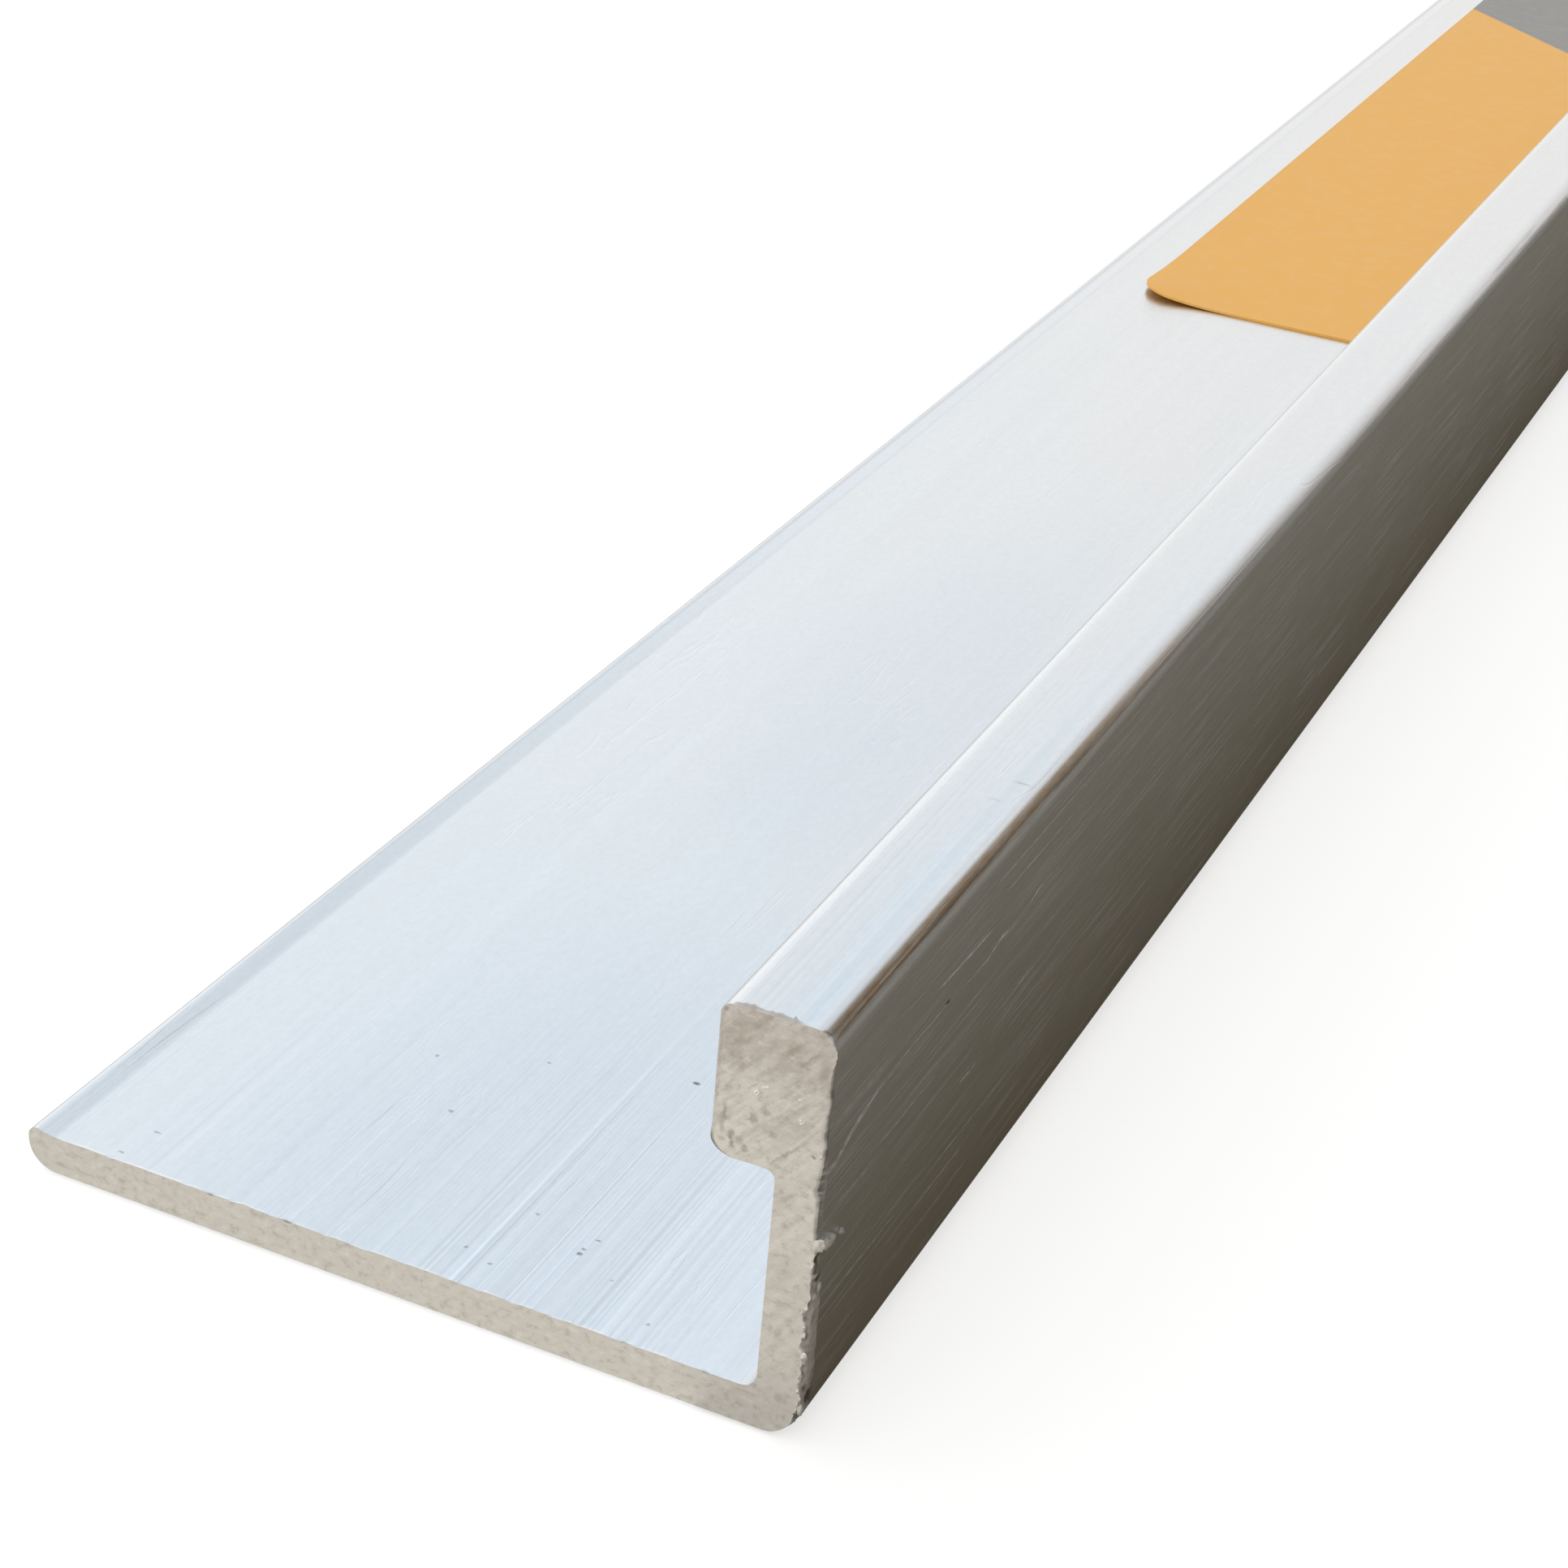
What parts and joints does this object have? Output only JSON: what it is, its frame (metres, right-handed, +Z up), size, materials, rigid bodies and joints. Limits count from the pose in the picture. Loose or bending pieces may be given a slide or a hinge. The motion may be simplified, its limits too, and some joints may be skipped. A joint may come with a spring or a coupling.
{
  "type": "tile edge trim",
  "caption": "Straight L-section aluminium trim with a wide thin flange and a thick square head, to finish and guard the open edge of tiling.",
  "frame": {"origin": "middle of the trim's length and width, at the underside of the flange", "axes": "+X from the flange's free edge towards the outer face, +Y along the trim away from the labelled end, +Z up"},
  "size_m": [0.024, 2.5, 0.0125],
  "materials": {
    "aluminium": "matt natural, as extruded, with a sawn end",
    "label_paper": "smooth printed paper, blank"
  },
  "bodies": {
    "root": {"profile": "aluminium", "label": "label_paper"}
  },
  "joints": []
}
